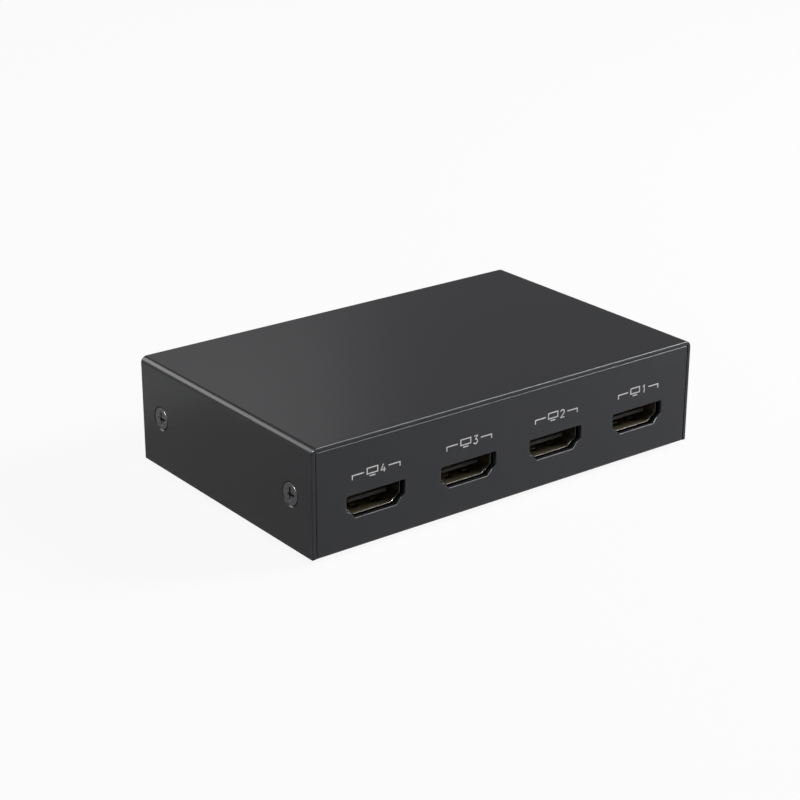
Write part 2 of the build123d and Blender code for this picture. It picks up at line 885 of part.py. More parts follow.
def fuse():
    """The resettable fuse: its body between two end caps."""
    half, inner = fuse_length / 2, fuse_length / 2 - fuse_end_thickness
    wide = fuse_width / 2
    body = block((-inner, -wide, 0), (inner, wide, fuse_height))
    end = block((inner, -wide, 0), (half, wide, fuse_height))
    return body, [end, Rot(0, 0, 180) * end]


def case_nodes():
    """The case, its screws and its feet."""
    return {
        "top_cover": top_cover(),
        "base_tray": base_tray(),
        "side_screws": side_screws(),
        "rubber_feet": rubber_feet(),
    }


def board_nodes():
    """The bare board and what holds it."""
    return {
        "circuit_board": circuit_board(),
        "board_standoffs": board_standoffs(),
        "board_screws": board_screws(),
    }


def socket_nodes():
    """Each display socket's shell, insulator and contacts."""
    shell, insulator, contacts = socket_shell(), socket_insulator(), socket_contacts()
    nodes = {}
    for name, place in socket_places().items():
        nodes[f"{name}_shell"] = place * shell
        nodes[f"{name}_insulator"] = place * insulator
        nodes[f"{name}_contacts"] = group([place * contact for contact in contacts.solids()])
    return nodes


def jack_and_lamp_nodes():
    """The power jack and the status lamps."""
    lamps = [place * lamp_body() for place in lamp_places()]
    legs = [
        place * Pos(side * lamp_leg_pitch / 2, 0, 0) * lamp_leg()
        for place in lamp_places()
        for side in (-1, 1)
    ]
    return {
        "power_jack_housing": jack_place() * power_jack_housing(),
        "power_jack_pin": jack_place() * power_jack_pin(),
        "power_jack_spring": jack_place() * power_jack_spring(),
        "power_lamp": lamps[0],
        "output_lamps": group(lamps[1:]),
        "lamp_legs": group(legs),
        "lamp_holders": group([place * lamp_holder() for place in lamp_places()]),
    }


def chip_nodes():
    """The chips, their leads and the heat sink."""
    main = Pos(0, 0, board_top)
    chip_half = main_chip_size / 2
    side = lead_row(chip_half, main_chip_height, main_chip_lead_count, main_chip_pitch, fine_lead_width)
    pad_half = chip_half - chip_chamfer
    pad_bottom = chip_standoff + main_chip_height
    pad = block((-pad_half, -pad_half, pad_bottom), (pad_half, pad_half, pad_bottom + pad_thickness))
    controller = on_board(controller_place_share)
    memory_places = [on_board(share) for share in memory_place_shares + [converter_place_share]]
    regulator = on_board(regulator_place_share)
    memory_row = two_rows(memory_width / 2, memory_height, memory_lead_count, memory_pitch, coarse_lead_width)
    controller_row = two_rows(
        controller_width / 2, controller_height, controller_lead_count, main_chip_pitch, fine_lead_width
    )
    regulator_row = lead_row(
        regulator_width / 2, regulator_height, regulator_lead_count, regulator_pitch, regulator_lead_width
    )
    regulator_tab = lead_row(regulator_width / 2, regulator_height, 1, regulator_pitch, regulator_tab_width)
    regulator_row += [Rot(0, 0, 180) * tab for tab in regulator_tab]
    memory = chip_body(memory_length, memory_width, memory_height)
    return {
        "splitter_chip": main * chip_body(main_chip_size, main_chip_size, main_chip_height),
        "splitter_chip_leads": group([main * Rot(0, 0, 90 * n) * lead for n in range(4) for lead in side]),
        "thermal_pad": main * pad,
        "heat_sink": main * Pos(0, 0, pad_bottom + pad_thickness) * heat_sink(),
        "controller_chip": controller * chip_body(controller_length, controller_width, controller_height),
        "controller_leads": group([controller * lead for lead in controller_row]),
        "memory_chips": group([place * memory for place in memory_places[:-1]]),
        "memory_leads": group([place * lead for place in memory_places[:-1] for lead in memory_row]),
        "converter_chip": memory_places[-1] * memory,
        "converter_leads": group([memory_places[-1] * lead for lead in memory_row]),
        "regulator": regulator * chip_body(regulator_length, regulator_width, regulator_height),
        "regulator_leads": group([regulator * lead for lead in regulator_row]),
        "surge_arrays": group(surge_arrays()),
    }


def component_nodes():
    """The coil, capacitors, crystal, fuse and resistors."""
    coil_body, coil_terminals = coil()
    can, can_base = can_capacitor()
    crystal_can, crystal_base = crystal()
    fuse_body, fuse_ends = fuse()
    coil_at, crystal_at, fuse_at = map(on_board, (coil_place_share, crystal_place_share, fuse_place_share))
    return {
        "power_coil": coil_at * coil_body,
        "power_coil_terminals": group([coil_at * terminal for terminal in coil_terminals]),
        "capacitor_cans": group([on_board(share) * can for share in can_place_shares]),
        "capacitor_bases": group([on_board(share) * can_base for share in can_place_shares]),
        "crystal_can": crystal_at * crystal_can,
        "crystal_base": crystal_at * crystal_base,
        "fuse_body": fuse_at * Rot(0, 0, 90) * fuse_body,
        "fuse_ends": group([fuse_at * Rot(0, 0, 90) * end for end in fuse_ends]),
        "ceramic_capacitors": group(capacitor_ring()),
        "lamp_resistors": group(lamp_resistors()),
    }


groups = (case_nodes, board_nodes, socket_nodes, jack_and_lamp_nodes, chip_nodes, component_nodes)
os.makedirs("parts", exist_ok=True)
for make in groups:
    for node, shape in make().items():
        export_step(shape, f"parts/{node}.step")
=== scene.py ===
"""Looks for a four-way display signal splitter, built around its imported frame."""

import math

import bmesh
import bpy
from mathutils import Matrix, Vector


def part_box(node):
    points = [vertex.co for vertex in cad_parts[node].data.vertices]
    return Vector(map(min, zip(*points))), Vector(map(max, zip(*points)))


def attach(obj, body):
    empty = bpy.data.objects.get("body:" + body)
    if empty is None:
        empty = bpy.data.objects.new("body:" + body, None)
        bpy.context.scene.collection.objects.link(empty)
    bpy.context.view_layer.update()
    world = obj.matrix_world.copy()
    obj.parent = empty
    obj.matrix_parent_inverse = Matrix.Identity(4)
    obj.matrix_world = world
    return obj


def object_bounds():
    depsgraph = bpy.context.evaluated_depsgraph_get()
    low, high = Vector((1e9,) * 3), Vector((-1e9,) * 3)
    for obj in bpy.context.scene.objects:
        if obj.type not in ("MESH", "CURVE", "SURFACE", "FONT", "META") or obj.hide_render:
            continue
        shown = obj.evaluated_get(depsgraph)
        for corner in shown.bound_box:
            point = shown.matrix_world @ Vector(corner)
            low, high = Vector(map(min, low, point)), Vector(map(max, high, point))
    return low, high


bl_info = {
    "name": "Display splitter looks",
    "version": (1, 0, 0),
    "blender": (4, 5, 0),
    "location": "3D View > Sidebar > Splitter",
    "description": "Finishes, printed marks and a studio for a four-way display splitter",
    "category": "Object",
}

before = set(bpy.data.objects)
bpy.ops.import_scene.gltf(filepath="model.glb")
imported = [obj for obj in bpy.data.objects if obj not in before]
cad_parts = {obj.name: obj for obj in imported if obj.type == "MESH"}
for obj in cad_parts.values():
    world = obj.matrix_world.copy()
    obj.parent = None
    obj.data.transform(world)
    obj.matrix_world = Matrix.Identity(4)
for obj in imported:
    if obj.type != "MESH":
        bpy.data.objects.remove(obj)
cad_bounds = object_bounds()

MM = 0.001
LIP_SHADE_START = 31.6 * MM  # distance of the shells' lips from the middle of the case, past which their faces take a painted shade
OUTPUTS = ("output_1", "output_2", "output_3", "output_4")
SOCKETS = (*OUTPUTS, "input")


def linear(code):
    """An sRGB hex colour as linear red, green and blue."""
    levels = [int(code[n : n + 2], 16) / 255 for n in (0, 2, 4)]
    return tuple(v / 12.92 if v <= 0.04045 else ((v + 0.055) / 1.055) ** 2.4 for v in levels)


def add(tree, kind, inputs=None, **settings):
    """Adds a node, sets its own settings, and sets or links its inputs by name or number."""
    made = tree.nodes.new(kind)
    for name, value in settings.items():
        setattr(made, name, value)
    for name, value in (inputs or {}).items():
        if isinstance(value, bpy.types.NodeSocket):
            tree.links.new(value, made.inputs[name])
        else:
            made.inputs[name].default_value = value
    return made


def new_tree(holder):
    """A material's or a world's empty node tree."""
    holder.use_nodes = True
    holder.node_tree.nodes.clear()
    return holder.node_tree


def finish(name, dark, light, grain, relief, roughness, metallic=0.0, ior=1.5, stretch=(1, 1, 1), **shader):
    """A material whose colour drifts from dark to light and whose face has a fine relief.

    grain is the size of the pattern and relief its depth, both in millimetres, and stretch
    makes the grain longer where it is under 1.
    """
    material = bpy.data.materials.new(name)
    tree = new_tree(material)
    where = add(tree, "ShaderNodeTexCoord").outputs["Object"]
    drawn = add(tree, "ShaderNodeMapping", {"Vector": where, "Scale": stretch})
    inputs = {"Vector": drawn.outputs[0], "Scale": 1 / (grain * MM), "Detail": 3.0}
    noise = add(tree, "ShaderNodeTexNoise", inputs)
    inputs = {"Fac": noise.outputs["Fac"]}
    ramp = add(tree, "ShaderNodeValToRGB", inputs)
    for stop, place, colour in zip(ramp.color_ramp.elements, (0.3, 0.7), (dark, light)):
        stop.position = place
        stop.color = (*colour, 1)
    inputs = {"Height": noise.outputs["Fac"], "Distance": relief * MM}
    bump = add(tree, "ShaderNodeBump", inputs)
    inputs = {
        "Base Color": ramp.outputs["Color"],
        "Roughness": roughness,
        "Metallic": metallic,
        "IOR": ior,
        "Normal": bump.outputs[0],
        **shader,
    }
    surface = add(tree, "ShaderNodeBsdfPrincipled", inputs)
    add(tree, "ShaderNodeOutputMaterial", {"Surface": surface.outputs[0]})
    return material


def metal(name, dark, light, grain, relief, roughness, **more):
    """A bare or plated metal, at the default IOR."""
    return finish(name, dark, light, grain, relief, roughness, metallic=1.0, **more)


def dress(material, *nodes):
    """Gives CAD nodes a material."""
    for node in nodes:
        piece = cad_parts[node]
        piece.data.materials.clear()
        piece.data.materials.append(material)


class SplitterFinishes(bpy.types.PropertyGroup):
    """Colours and grit of the surfaces that show"""

    coat: bpy.props.FloatVectorProperty(
        name="Powder coat",
        description="Colour of the coat on the cover and the tray",
        subtype="COLOR",
        default=linear("202126"),
        min=0,
        max=1,
    )
    coat_grit: bpy.props.FloatProperty(
        name="Coat grit",
        description="Size of the fine texture in the powder coat",
        subtype="DISTANCE",
        unit="LENGTH",
        default=0.3 * MM,
    )
    screw: bpy.props.FloatVectorProperty(
        name="Screws",
        description="Colour of the side screws",
        subtype="COLOR",
        default=linear("646466"),
        min=0,
        max=1,
    )
    shell: bpy.props.FloatVectorProperty(
        name="Socket shells",
        description="Colour of the plating on the socket shells",
        subtype="COLOR",
        default=linear("b2a98c"),
        min=0,
        max=1,
    )
    ink: bpy.props.FloatVectorProperty(
        name="Ink",
        description="Colour of the printed marks",
        subtype="COLOR",
        default=linear("d2d2d0"),
        min=0,
        max=1,
    )
    power_lens: bpy.props.FloatVectorProperty(
        name="Power lamp",
        description="Tint of the power lamp's epoxy",
        subtype="COLOR",
        default=linear("b02018"),
        min=0,
        max=1,
    )
    output_lens: bpy.props.FloatVectorProperty(
        name="Output lamps",
        description="Tint of the output lamps' epoxy",
        subtype="COLOR",
        default=linear("2f9a48"),
        min=0,
        max=1,
    )


class SplitterMarks(bpy.types.PropertyGroup):
    """Sizes of the printed marks"""

    height: bpy.props.FloatProperty(
        name="Mark height",
        description="Height of the numbers and symbols over the sockets",
        subtype="DISTANCE",
        unit="LENGTH",
        default=1.8 * MM,
    )
    span: bpy.props.FloatProperty(
        name="Mark span",
        description="Width of the bracket over a socket",
        subtype="DISTANCE",
        unit="LENGTH",
        default=12.2 * MM,
    )
    stroke: bpy.props.FloatProperty(
        name="Stroke",
        description="Width of a printed line",
        subtype="DISTANCE",
        unit="LENGTH",
        default=0.24 * MM,
    )
    film: bpy.props.FloatProperty(
        name="Ink film",
        description="Thickness of the ink",
        subtype="DISTANCE",
        unit="LENGTH",
        default=0.02 * MM,
    )


class SplitterStudio(bpy.types.PropertyGroup):
    """Light and floor"""

    key: bpy.props.FloatProperty(
        name="Key",
        description="Brightness of the softbox on the right",
        default=36.0,
        min=0,
    )
    strip: bpy.props.FloatProperty(
        name="Strip",
        description="Brightness of the long lamp high in front, which draws the front arrises",
        default=36.0,
        min=0,
    )
    edge: bpy.props.FloatProperty(
        name="Edge",
        description="Brightness of the softbox on the left, which draws the side bend and the screws",
        default=4.2,
        min=0,
    )
    fill: bpy.props.FloatProperty(
        name="Fill",
        description="Brightness of the softbox behind on the right, which the top mirrors",
        default=0.7,
        min=0,
    )
    spark: bpy.props.FloatProperty(
        name="Spark",
        description="Brightness of the small lamp high on the left, which the sockets' lips mirror",
        default=900.0,
        min=0,
    )
    floor_shadow: bpy.props.FloatProperty(
        name="Floor shadow",
        description="How much of the shadow the white floor keeps",
        subtype="FACTOR",
        default=0.08,
        min=0,
        max=1,
    )


class SPLITTER_OT_case(bpy.types.Operator):
    """Powder coat on the cover and the tray"""

    bl_idname = "splitter.case"
    bl_label = "Case"

    def execute(self, context):
        looks = context.scene.splitter_finishes
        # Polyester powder coat with a fine texture, baked on sheet steel: a dull charcoal
        # face with a soft sheen, a faint grit and a very slight mottle.
        tint = Vector(looks.coat)
        grit = looks.coat_grit / MM
        coat = finish("powder_coat", tint * 0.94, tint * 1.06, grit, 0.004, 0.28, ior=1.45)
        dress(coat, "top_cover", "base_tray")
        return {"FINISHED"}


class SPLITTER_OT_fastenings(bpy.types.Operator):
    """Side screws and feet"""

    bl_idname = "splitter.fastenings"
    bl_label = "Screws and feet"

    def execute(self, context):
        tint = Vector(context.scene.splitter_finishes.screw)
        # Blackened zinc on a cold-headed steel screw: grey metal with a faint cloudy sheen.
        zinc = metal("blackened_zinc", tint * 0.85, tint * 1.15, 0.5, 0.004, 0.36)
        dress(zinc, "side_screws")
        # Moulded nitrile rubber: matt black with a dry, slightly dusty grain.
        rubber = finish("moulded_rubber", linear("161617"), linear("222223"), 0.4, 0.02, 0.8, ior=1.52)
        dress(rubber, "rubber_feet")
        return {"FINISHED"}


class SPLITTER_OT_sockets(bpy.types.Operator):
    """Shells, insulators and contacts of the display sockets"""

    bl_idname = "splitter.sockets"
    bl_label = "Display sockets"

    def execute(self, context):
        tint = Vector(context.scene.splitter_finishes.shell)
        # Nickel over drawn brass: warm grey metal, its drawing lines running into the socket.
        nickel = metal("drawn_nickel", tint * 0.8, tint, 0.5, 0.003, 0.38, stretch=(1, 0.06, 1))
        # Moulded liquid-crystal polymer: matt black with a slight satin flow.
        polymer = finish("moulded_polymer", linear("0a0a0b"), linear("101011"), 0.8, 0.006, 0.55, ior=1.45)
        # Gold flash on bronze: soft yellow metal, smooth from rolling.
        gold = metal("gold_flash", linear("c89a4a"), linear("e0b45f"), 0.4, 0.002, 0.26)
        # The front faces of the same plate at the mouth: a dim neutral grey, painted darker as shade where
        # the lips sit back in the cutouts.
        lip_shade = metal("lip_painted_shade", linear("44423f"), linear("53514c"), 0.3, 0.003, 0.22)
        for socket in SOCKETS:
            dress(nickel, f"{socket}_shell")
            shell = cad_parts[f"{socket}_shell"].data
            shell.materials.append(lip_shade)
            # Faces near the mouth get the darker grey of the painted shade.
            for face in shell.polygons:
                face.material_index = int(abs(face.center.y) > LIP_SHADE_START)
            dress(polymer, f"{socket}_insulator")
            dress(gold, f"{socket}_contacts")
        return {"FINISHED"}


class SPLITTER_OT_power_jack(bpy.types.Operator):
    """Housing, pin and spring of the power jack"""

    bl_idname = "splitter.power_jack"
    bl_label = "Power jack"

    def execute(self, context):
        # Moulded nylon: deep black with a fine spark-eroded texture from the tool.
        nylon = finish("moulded_nylon", linear("0f0f10"), linear("191919"), 0.3, 0.008, 0.46, ior=1.53)
        dress(nylon, "power_jack_housing", "lamp_holders")
        # Nickel over turned brass: pale warm metal with faint turning lines.
        turned = metal("turned_nickel", linear("b9b3a4"), linear("d3cdbf"), 0.3, 0.002, 0.2)
        dress(turned, "power_jack_pin", "power_jack_spring")
        return {"FINISHED"}


class SPLITTER_OT_lamps(bpy.types.Operator):
    """Status lamps and their legs"""

    bl_idname = "splitter.lamps"
    bl_label = "Status lamps"

    def execute(self, context):
        looks = context.scene.splitter_finishes
        # Tinted epoxy, cast: clear and glossy, so that the tint looks deep.
        for name, tint, node in (
            ("red_epoxy", looks.power_lens, "power_lamp"),
            ("green_epoxy", looks.output_lens, "output_lamps"),
        ):
            tint = Vector(tint)
            cast = {"Transmission Weight": 0.35, "Coat Weight": 0.3}
            epoxy = finish(name, tint * 0.8, tint, 1.2, 0.001, 0.12, ior=1.54, **cast)
            dress(epoxy, node)
        # Hot-dipped tin on copper: bright soft grey, a little uneven from the dip.
        tin = metal("dipped_tin", linear("a9aaab"), linear("c4c5c6"), 0.4, 0.006, 0.3)
        dress(tin, "lamp_legs", "splitter_chip_leads", "controller_leads", "memory_leads")
        dress(tin, "converter_leads", "regulator_leads", "power_coil_terminals", "fuse_ends")
        return {"FINISHED"}


class SPLITTER_OT_board(bpy.types.Operator):
    """Circuit board, standoffs and board screws"""

    bl_idname = "splitter.board"
    bl_label = "Circuit board"

    def execute(self, context):
        # Black solder mask over glass-fibre laminate: satin, with the weave showing faintly.
        mask = finish("solder_mask", linear("101214"), linear("1b1e20"), 0.6, 0.006, 0.3, ior=1.55)
        dress(mask, "circuit_board")
        # Zinc plating on turned steel: bluish grey metal with a light bloom.
        plate = metal("zinc_plate", linear("8d9092"), linear("a8abad"), 0.6, 0.003, 0.34)
        dress(plate, "board_standoffs", "board_screws")
        return {"FINISHED"}


class SPLITTER_OT_components(bpy.types.Operator):
    """Chips, heat sink and the other components on the board"""

    bl_idname = "splitter.components"
    bl_label = "Board components"

    def execute(self, context):
        # Moulded epoxy with silica filler: dull black with a fine sandy grain.
        epoxy = finish("filled_epoxy", linear("1c1c1e"), linear("28282a"), 0.25, 0.008, 0.62, ior=1.55)
        dress(epoxy, "splitter_chip", "controller_chip", "memory_chips", "converter_chip")
        dress(epoxy, "regulator", "surge_arrays")
        # Filled silicone sheet: soft blue-grey, quite matt.
        silicone = finish("soft_silicone", linear("8890a0"), linear("9aa2b0"), 0.4, 0.01, 0.85, ior=1.41)
        dress(silicone, "thermal_pad")
        # Black anodised aluminium, extruded: satin black metal with lines along the fins.
        along_fins = {"stretch": (1, 0.05, 1)}
        anodised = metal("black_anodised", linear("202022"), linear("2c2c2f"), 0.4, 0.004, 0.42, **along_fins)
        dress(anodised, "heat_sink")
        # Sintered ferrite, ground: very dark grey, faintly speckled.
        ferrite = finish("ground_ferrite", linear("2b2b2e"), linear("3f3f43"), 0.3, 0.012, 0.5, ior=2.0)
        dress(ferrite, "power_coil")
        # Drawn aluminium: bright satin metal with lines up the can.
        up_can = {"stretch": (1, 1, 0.06)}
        drawn = metal("drawn_aluminium", linear("c2c3c5"), linear("dadbdc"), 0.3, 0.003, 0.28, **up_can)
        dress(drawn, "capacitor_cans")
        # Moulded filled plastic under the cans and the crystal: plain dull black.
        base = finish("filled_plastic", linear("141415"), linear("1e1e1f"), 0.4, 0.008, 0.55, ior=1.58)
        dress(base, "capacitor_bases", "crystal_base")
        # Drawn nickel-plated steel: pale grey metal with a soft brushed sheen.
        brushed = {"stretch": (1, 0.08, 1)}
        can = metal("brushed_nickel", linear("a5a49e"), linear("bfbeb8"), 0.4, 0.003, 0.3, **brushed)
        dress(can, "crystal_can")
        # Coated conductive polymer: dull sea green.
        polymer = finish("coated_polymer", linear("23503c"), linear("306248"), 0.3, 0.006, 0.5)
        dress(polymer, "fuse_body")
        # Fired barium titanate: dull sandy brown ceramic.
        fired = finish("fired_ceramic", linear("9c8160"), linear("b4987a"), 0.2, 0.004, 0.48, ior=2.0)
        dress(fired, "ceramic_capacitors")
        # Glazed resistor film on alumina: glossy near-black.
        glaze = finish("glazed_ceramic", linear("161618"), linear("242426"), 0.2, 0.002, 0.22, ior=1.6)
        dress(glaze, "lamp_resistors")
        return {"FINISHED"}


def arc(centre, radius, start, stop, steps=10):
    """Points along an arc, its angles in degrees."""
    turn = (stop - start) / steps
    angles = [math.radians(start + n * turn) for n in range(steps + 1)]
    return [(centre[0] + radius * math.cos(a), centre[1] + radius * math.sin(a)) for a in angles]


# The numbers, drawn in a box one high, as lines of points
NUMBERS = {
    "1": [[(0.12, 0.8), (0.36, 1.0), (0.36, 0.0)]],
    "2": [[*arc((0.31, 0.71), 0.29, 165, -35), (0.03, 0.0), (0.64, 0.0)]],
    "3": [[(0.06, 1.0), (0.58, 1.0), (0.28, 0.6), *arc((0.29, 0.3), 0.3, 75, -155)]],
    "4": [[(0.36, 1.0), (0.03, 0.28), (0.66, 0.28)], [(0.48, 0.58), (0.48, 0.0)]],
}
NUMBER_WIDTH = 0.66
# A screen on its stand, an arrow into a box, and the round power sign, drawn the same way
SCREEN = [[(0, 0.3), (0, 1), (1.5, 1), (1.5, 0.3), (0, 0.3)], [(0.35, 0.0), (1.15, 0.0)]]
SCREEN_WIDTH = 1.5
INLET = [
    [(0.8, 0.98), (1.5, 0.98), (1.5, 0.02), (0.8, 0.02)],
    [(0.0, 0.5), (1.05, 0.5)],
    [(0.75, 0.78), (1.05, 0.5), (0.75, 0.22)],
]
INLET_WIDTH = 1.5
POWER = [arc((0.5, 0.45), 0.42, 60, -240, 20), [(0.5, 0.5), (0.5, 1.0)]]
POWER_WIDTH = 1.0


def shifted(lines, x, z, scale):
    """Lines moved and scaled."""
    return [[(x + scale * u, z + scale * v) for u, v in line] for line in lines]


def offsets(points, n):
    """The direction and length of the mitre at a point, for a half width of one."""
    closed = points[0] == points[-1]
    here = Vector(points[n])
    before = points[n - 1] if n else (points[-2] if closed else None)
    after = points[n + 1] if n + 1 < len(points) else (points[1] if closed else None)
    runs = [
        run.normalized()
        for run in (here - Vector(before) if before else None, Vector(after) - here if after else None)
        if run is not None
    ]
    sides = [Vector((-run.y, run.x)) for run in runs]
    middle = sum(sides, Vector((0, 0))).normalized()
    return middle / max(middle.dot(sides[0]), 0.6)


def print_mark(name, lines, marks, place):
    """A printed mark: flat bands of ink along lines in metres, on the plane of place."""
    mesh = bpy.data.meshes.new(name)
    form = bmesh.new()
    half = marks.stroke / 2
    for points in lines:
        closed = points[0] == points[-1]
        rings = []
        for n in range(len(points) - closed):
            here, mitre = Vector(points[n]), offsets(points, n) * half
            corners = [here + mitre, here - mitre]
            ring = [form.verts.new((*c, 0)) for c in corners]
            ring += [form.verts.new((*c, marks.film)) for c in reversed(corners)]
            rings.append(ring)
        for a, b in zip(rings, rings[1:] + rings[:1] if closed else rings[1:]):
            for n in range(4):
                m = (n + 1) % 4
                form.faces.new((a[n], a[m], b[m], b[n]))
        if not closed:
            form.faces.new(reversed(rings[0]))
            form.faces.new(rings[-1])
    bmesh.ops.recalc_face_normals(form, faces=form.faces)
    form.transform(place)
    form.to_mesh(mesh)
    form.free()
    piece = bpy.data.objects.new(name, mesh)
    bpy.context.scene.collection.objects.link(piece)
    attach(piece, "root")
    return piece


def ink(looks):
    """Screen ink, printed and baked: flat off-white with a slightly chalky edge."""
    tint = Vector(looks.ink)
    return finish("screen_ink", tint * 0.94, tint, 0.3, 0.002, 0.6)


def bracket(marks, middle):
    """Lines that run out from a mark to the ends of its span and turn down."""
    half, level, foot = marks.span / 2, marks.height * 0.62, marks.height * 0.1
    return [[(side * middle, level), (side * half, level), (side * half, foot)] for side in (-1, 1)]


def on_front(x, z):
    """The front panel's plane at x and z."""
    low = cad_bounds[0]
    return Matrix.Translation((x, low.y, z)) @ Matrix.Rotation(math.radians(90), 4, "X")


def on_rear(x, z):
    """The rear panel's plane at x and z, seen from behind."""
    high = cad_bounds[1]
    turn = Matrix.Rotation(math.radians(180), 4, "Z") @ Matrix.Rotation(math.radians(90), 4, "X")
    return Matrix.Translation((x, high.y, z)) @ turn


class SPLITTER_OT_front_marks(bpy.types.Operator):
    """A screen sign and a number over each output"""

    bl_idname = "splitter.front_marks"
    bl_label = "Front marks"

    def execute(self, context):
        marks = context.scene.splitter_marks
        film = ink(context.scene.splitter_finishes)
        tall = marks.height
        gap = MARK_GAP * tall
        width = (SCREEN_WIDTH + NUMBER_WIDTH) * tall + gap
        for number, socket in enumerate(OUTPUTS, start=1):
            low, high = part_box(f"{socket}_shell")
            lines = shifted(SCREEN, -width / 2, 0, tall)
            lines += shifted(NUMBERS[str(number)], width / 2 - NUMBER_WIDTH * tall, 0, tall)
            lines += bracket(marks, width / 2 + gap)
            z = high.z + MARK_LIFT
            piece = print_mark(f"{socket}_mark", lines, marks, on_front((low.x + high.x) / 2, z))
            piece.data.materials.append(film)
        return {"FINISHED"}


class SPLITTER_OT_rear_marks(bpy.types.Operator):
    """Signs at the input, the lamps and the power jack"""

    bl_idname = "splitter.rear_marks"
    bl_label = "Rear marks"

    def execute(self, context):
        marks = context.scene.splitter_marks
        film = ink(context.scene.splitter_finishes)
        tall = marks.height
        gap = MARK_GAP * tall
        low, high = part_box("input_shell")
        half = INLET_WIDTH / 2 * tall
        lines = shifted(INLET, -half, 0, tall) + bracket(marks, half + gap)
        place = on_rear((low.x + high.x) / 2, high.z + MARK_LIFT)
        made = [print_mark("input_mark", lines, marks, place)]

        small = REAR_MARK_SIZE * tall
        low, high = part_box("power_lamp")
        level = high.z + LAMP_MARK_LIFT
        lines = shifted(POWER, -POWER_WIDTH / 2 * small, 0, small)
        place = on_rear((low.x + high.x) / 2, level)
        made.append(print_mark("power_lamp_mark", lines, marks, place))
        low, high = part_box("output_lamps")
        radius = (high.z - low.z) / 2
        first, last = high.x - radius, low.x + radius
        for n, socket in enumerate(OUTPUTS):
            lines = shifted(NUMBERS[str(n + 1)], -NUMBER_WIDTH * small / 2, 0, small)
            x = first + (last - first) * n / (len(OUTPUTS) - 1)
            made.append(print_mark(f"{socket}_lamp_mark", lines, marks, on_rear(x, level)))

        low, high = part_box("power_jack_housing")
        place = on_rear((low.x + high.x) / 2, high.z + JACK_MARK_LIFT)
        made.append(print_mark("jack_polarity_mark", polarity(small), marks, place))
        for piece in made:
            piece.data.materials.append(film)
        return {"FINISHED"}


def polarity(tall):
    """The sign for a plug whose centre is positive: minus, ring and dot, plus."""
    middle = (0, tall / 2)
    dot = arc(middle, 0.12 * tall, 0, 360, 8)
    return [
        arc(middle, 0.5 * tall, -60, 240, 16),
        dot[:-1] + dot[:1],
        [(0.3 * tall, tall / 2), (2.0 * tall, tall / 2)],
        [(-0.5 * tall, tall / 2), (-2.0 * tall, tall / 2)],
        [(-2.9 * tall, tall / 2), (-2.3 * tall, tall / 2)],
        [(2.3 * tall, tall / 2), (2.9 * tall, tall / 2)],
    ]


# How far the marks stand over what they name
MARK_LIFT = 3.25 * MM
LAMP_MARK_LIFT = 0.9 * MM
JACK_MARK_LIFT = 1.2 * MM
# The space beside a mark, and the size of the small marks on the rear, to the height of a mark
MARK_GAP = 0.45
REAR_MARK_SIZE = 0.85

# The camera, found from the edges of the case in the photograph
CAMERA_PLACE = Vector((-259.44, -333.14, 181.90)) * MM
CAMERA_AZIMUTH = math.radians(-37.332)
CAMERA_ELEVATION = math.radians(21.747)
CAMERA_ROLL = math.radians(0.125)
CAMERA_LENS = 89.45

# How bright the surround is at a height, from straight down at 0 to straight up at 1
SKY_STOPS = ((0.0, 1.0), (0.02, 1.0), (0.08, 0.15), (0.3, 0.17), (0.42, 0.36), (0.5, 0.28), (1.0, 0.28))

# Each lamp's azimuth and elevation in degrees, its two sides in centimetres and its roll in
# degrees. The key lights the object. The others only show in the sheen of arrises and metal,
# and add no light to plain faces.
LAMPS = {
    "key": ((64, 27), (26, 26), 0),
    "strip": ((50, 50), (60, 17), -42),
    "edge": ((-152, 27), (58, 40), 0),
    "fill": ((154, 28), (24, 16), 0),
    "spark": ((-64, 51), (9, 9), 0),
}
LAMP_DISTANCE = 900 * MM

FLOOR_HALF = 6.0
# How bright the floor is where metal and glass mirror it
MIRRORED_FLOOR = 0.2


def aim(turn, rise, roll=0.0):
    back = Vector((math.sin(turn) * math.cos(rise), -math.cos(turn) * math.cos(rise), math.sin(rise)))
    level = Vector((math.cos(turn), math.sin(turn), 0))
    up = back.cross(level)
    right = math.cos(roll) * level + math.sin(roll) * up
    return Matrix((right, back.cross(right), back)).transposed().to_4x4()


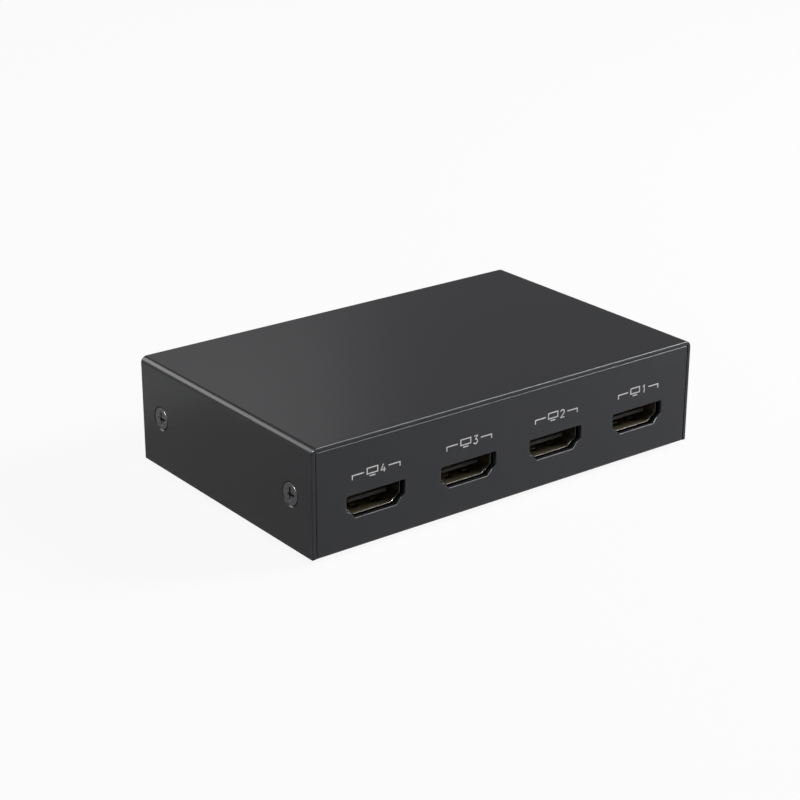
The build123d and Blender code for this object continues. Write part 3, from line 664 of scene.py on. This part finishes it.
class SPLITTER_OT_studio(bpy.types.Operator):
    """White floor, soft light and the camera"""

    bl_idname = "splitter.studio"
    bl_label = "Studio"

    def execute(self, context):
        studio = context.scene.splitter_studio
        scene = context.scene
        scene.view_settings.view_transform = "Standard"
        camera = bpy.data.objects.new("camera", bpy.data.cameras.new("camera"))
        scene.collection.objects.link(camera)
        turned = aim(CAMERA_AZIMUTH, CAMERA_ELEVATION, CAMERA_ROLL)
        camera.matrix_world = Matrix.Translation(CAMERA_PLACE) @ turned
        camera.data.lens = CAMERA_LENS
        camera.data.clip_start = 0.01
        scene.camera = camera
        self.sky(scene)
        self.floor(studio)
        for name, (place, size, roll) in LAMPS.items():
            lamp = self.softbox(scene, name, place, size, getattr(studio, name), roll)
            lamp.visible_diffuse = name == "key"
        return {"FINISHED"}

    @staticmethod
    def sky(scene):
        """A surround that is white up to just over the level, and darker higher up."""
        world = bpy.data.worlds.new("studio_sky")
        scene.world = world
        tree = new_tree(world)
        where = add(tree, "ShaderNodeTexCoord").outputs["Generated"]
        rise = add(tree, "ShaderNodeSeparateXYZ", {"Vector": where}).outputs["Z"]
        ramp = add(tree, "ShaderNodeValToRGB", {"Fac": rise})
        stops = ramp.color_ramp.elements
        for place, level in SKY_STOPS[1:-1]:
            stops.new(place)
        for stop, (place, level) in zip(stops, SKY_STOPS):
            stop.position = place
            stop.color = (level, level, level, 1)
        light = add(tree, "ShaderNodeBackground", {"Color": ramp.outputs["Color"], "Strength": 1.0})
        add(tree, "ShaderNodeOutputWorld", {"Surface": light.outputs[0]})

    @staticmethod
    def floor(studio):
        """A white floor whose shadow is held soft where it is seen, and which is clear from below."""
        mesh = bpy.data.meshes.new("floor")
        corners = [(FLOOR_HALF * x, FLOOR_HALF * y, 0) for x, y in ((-1, -1), (1, -1), (1, 1), (-1, 1))]
        mesh.from_pydata(corners, [], [(0, 1, 2, 3)])
        floor = bpy.data.objects.new("floor", mesh)
        bpy.context.scene.collection.objects.link(floor)
        material = bpy.data.materials.new("white_floor")
        tree = new_tree(material)
        path = add(tree, "ShaderNodeLightPath")
        inputs = {0: path.outputs["Is Camera Ray"], 1: 1 - studio.floor_shadow}
        share = add(tree, "ShaderNodeMath", inputs, operation="MULTIPLY")
        for kind in ("Is Glossy Ray", "Is Transmission Ray"):
            inputs = {0: path.outputs[kind], 1: MIRRORED_FLOOR}
            part = add(tree, "ShaderNodeMath", inputs, operation="MULTIPLY")
            inputs = {0: share.outputs[0], 1: part.outputs[0]}
            share = add(tree, "ShaderNodeMath", inputs, operation="MAXIMUM")
        paper = add(tree, "ShaderNodeBsdfDiffuse", {"Color": (0.9, 0.9, 0.9, 1)})
        shine = add(tree, "ShaderNodeEmission", {"Color": (1, 1, 1, 1), "Strength": 1.0})
        inputs = {0: share.outputs[0], 1: paper.outputs[0], 2: shine.outputs[0]}
        white = add(tree, "ShaderNodeMixShader", inputs)
        clear = add(tree, "ShaderNodeBsdfTransparent")
        below = add(tree, "ShaderNodeNewGeometry").outputs["Backfacing"]
        inputs = {0: below, 1: white.outputs[0], 2: clear.outputs[0]}
        either = add(tree, "ShaderNodeMixShader", inputs)
        add(tree, "ShaderNodeOutputMaterial", {"Surface": either.outputs[0]})
        mesh.materials.append(material)

    @staticmethod
    def softbox(scene, name, place, size, level, roll):
        """A lamp at an azimuth and an elevation in degrees, aimed at the object.

        Its sides are in centimetres, and level is how bright its face is.
        """
        turn, rise = place
        lamp = bpy.data.lights.new(name, "AREA")
        lamp.shape = "RECTANGLE"
        lamp.size, lamp.size_y = (side / 100 for side in size)
        lamp.energy = level * math.pi * lamp.size * lamp.size_y
        held = bpy.data.objects.new(name, lamp)
        scene.collection.objects.link(held)
        rotation = aim(math.radians(turn), math.radians(rise), math.radians(roll))
        back = rotation.to_3x3().col[2]
        held.matrix_world = Matrix.Translation(back * LAMP_DISTANCE) @ rotation
        return held


STEPS = (
    SPLITTER_OT_case,
    SPLITTER_OT_fastenings,
    SPLITTER_OT_sockets,
    SPLITTER_OT_power_jack,
    SPLITTER_OT_lamps,
    SPLITTER_OT_board,
    SPLITTER_OT_components,
    SPLITTER_OT_front_marks,
    SPLITTER_OT_rear_marks,
    SPLITTER_OT_studio,
)
GROUPS = {
    "splitter_finishes": SplitterFinishes,
    "splitter_marks": SplitterMarks,
    "splitter_studio": SplitterStudio,
}


class SPLITTER_PT_panel(bpy.types.Panel):
    """Lists the sizes, the colours and the steps"""

    bl_idname = "SPLITTER_PT_panel"
    bl_label = "Splitter"
    bl_space_type = "VIEW_3D"
    bl_region_type = "UI"
    bl_category = "Splitter"

    def draw(self, context):
        for name, group in GROUPS.items():
            box = self.layout.box()
            for prop in group.__annotations__:
                box.prop(getattr(context.scene, name), prop)
        for step in STEPS:
            self.layout.operator(step.bl_idname)


def register():
    for kind in (*GROUPS.values(), *STEPS, SPLITTER_PT_panel):
        bpy.utils.register_class(kind)
    for name, group in GROUPS.items():
        setattr(bpy.types.Scene, name, bpy.props.PointerProperty(type=group))


def unregister():
    for name in GROUPS:
        delattr(bpy.types.Scene, name)
    for kind in (*GROUPS.values(), *STEPS, SPLITTER_PT_panel):
        bpy.utils.unregister_class(kind)


def main():
    """Builds the looks in order."""
    register()
    for step in STEPS:
        area, name = step.bl_idname.split(".")
        getattr(getattr(bpy.ops, area), name)()


if __name__ == "__main__":
    main()
